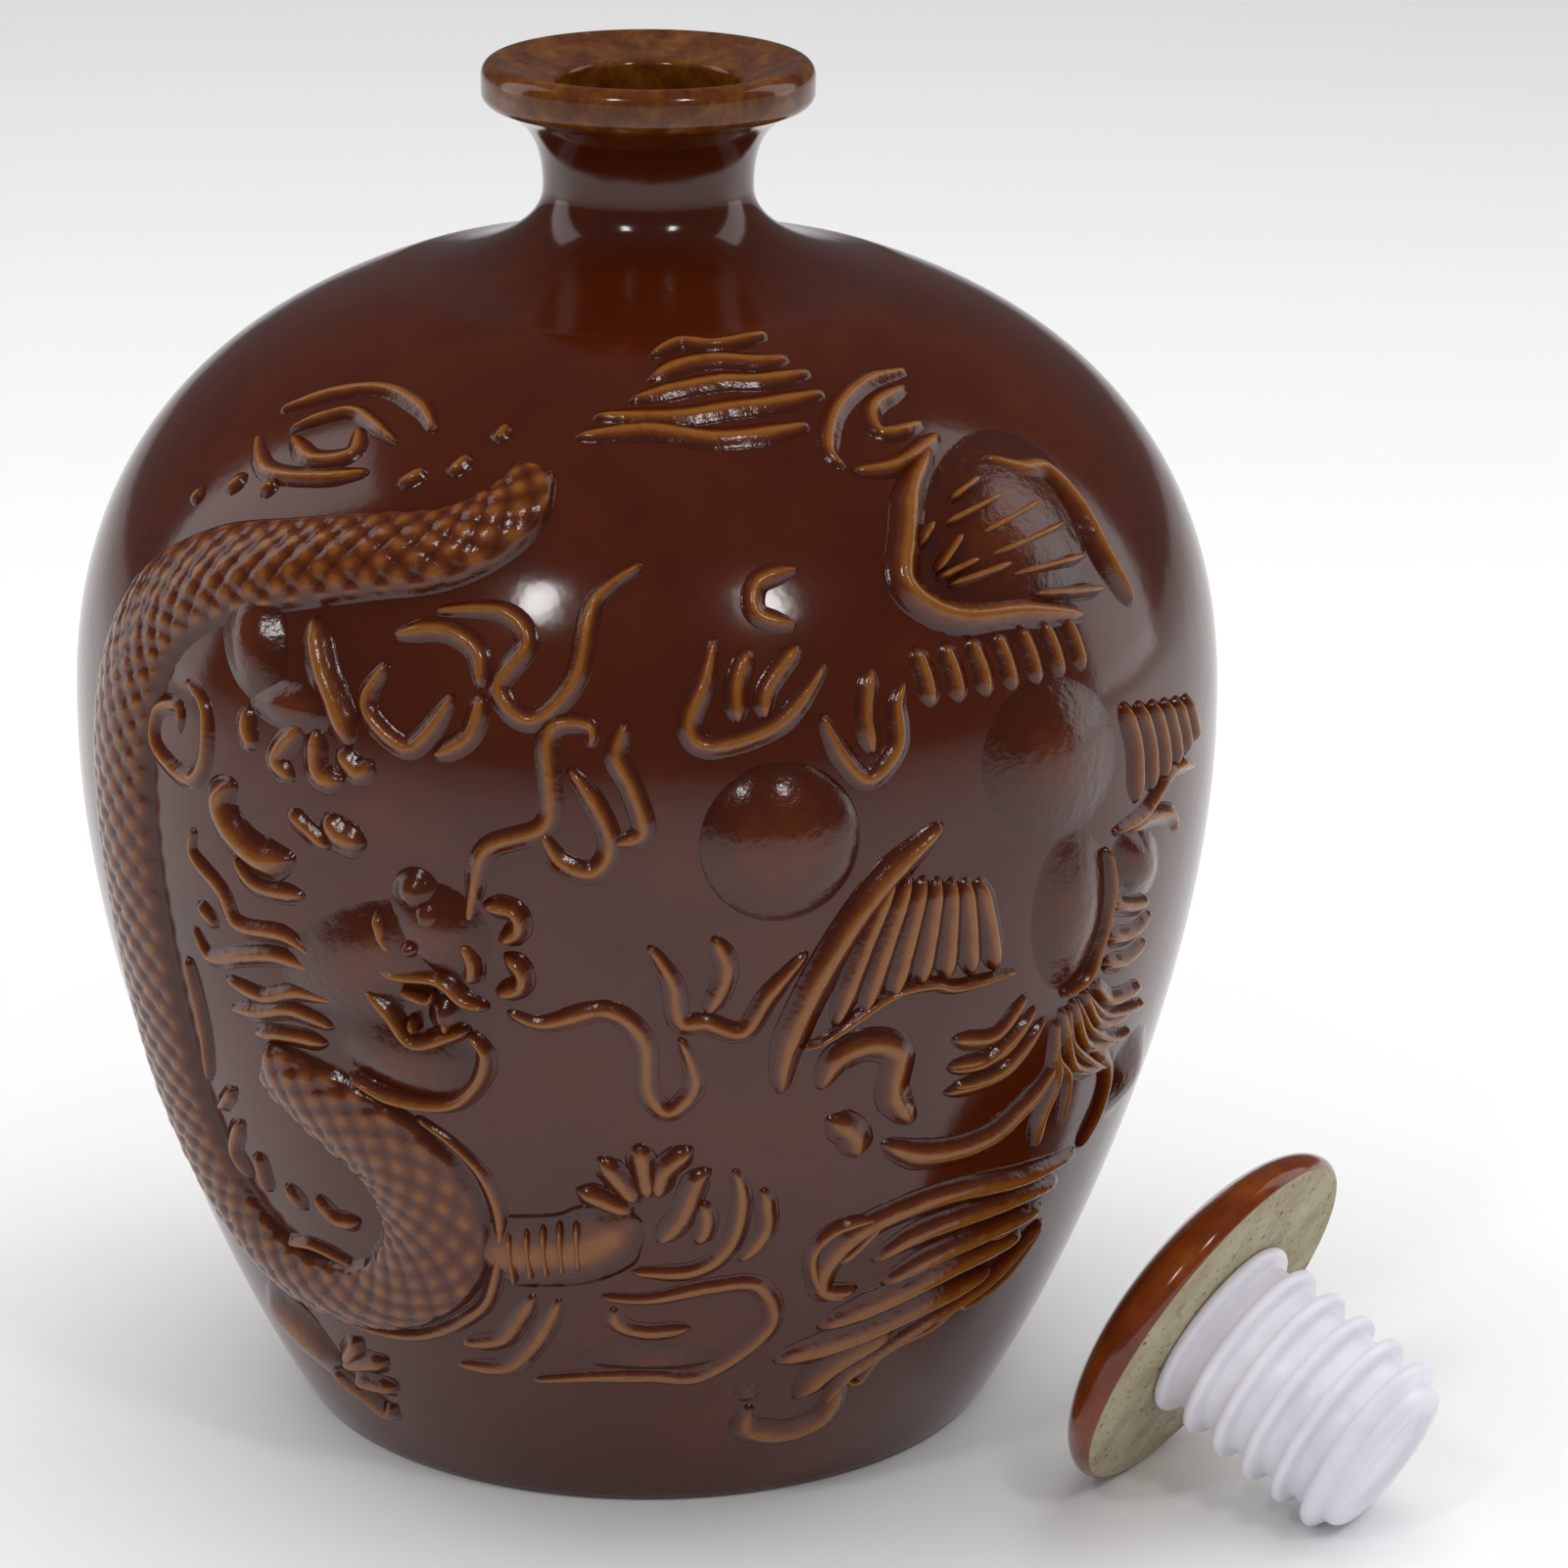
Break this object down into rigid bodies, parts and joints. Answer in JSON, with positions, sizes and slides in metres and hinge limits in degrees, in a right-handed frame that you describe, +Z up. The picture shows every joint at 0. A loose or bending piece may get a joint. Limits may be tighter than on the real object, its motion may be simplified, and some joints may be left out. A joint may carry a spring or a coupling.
{
  "type": "martaban jar",
  "caption": "Glazed stoneware storage jar with narrow neck, rolled lip and raised dragon and phoenix relief, with its ribbed stopper lying beside it.",
  "frame": {"origin": "centre of the flat foot of the jar, on the surface it stands on", "axes": "+Z up along the jar's axis, out of the mouth; the relief faces -Y; +X to the viewer's right, where the stopper lies"},
  "size_m": [0.2473, 0.2129, 0.2524],
  "materials": {
    "brown_glaze": "gloss",
    "amber_relief_glaze": "gloss",
    "bare_clay": "matte",
    "milky_plastic": "satin",
    "hot_glue": "satin"
  },
  "bodies": {
    "jar": {"jar_body": "brown_glaze", "dragon_body": "amber_relief_glaze", "dragon_head": "amber_relief_glaze", "dragon_limbs": "amber_relief_glaze", "dragon_mane": "amber_relief_glaze", "dragon_tail": "amber_relief_glaze", "phoenix_body": "amber_relief_glaze", "phoenix_wings": "amber_relief_glaze", "phoenix_tail": "amber_relief_glaze", "pearl": "amber_relief_glaze", "clouds": "amber_relief_glaze", "flames": "amber_relief_glaze"},
    "stopper": {"stopper_cap": "bare_clay", "stopper_plug": "milky_plastic", "plug_glue": "hot_glue"}
  },
  "joints": [
    {"name": "stopper_lift", "type": "slide", "parent": "jar", "child": "stopper", "axis": [0.43, -0.25, 0.8675], "range_m": [0, 0.25]}
  ]
}
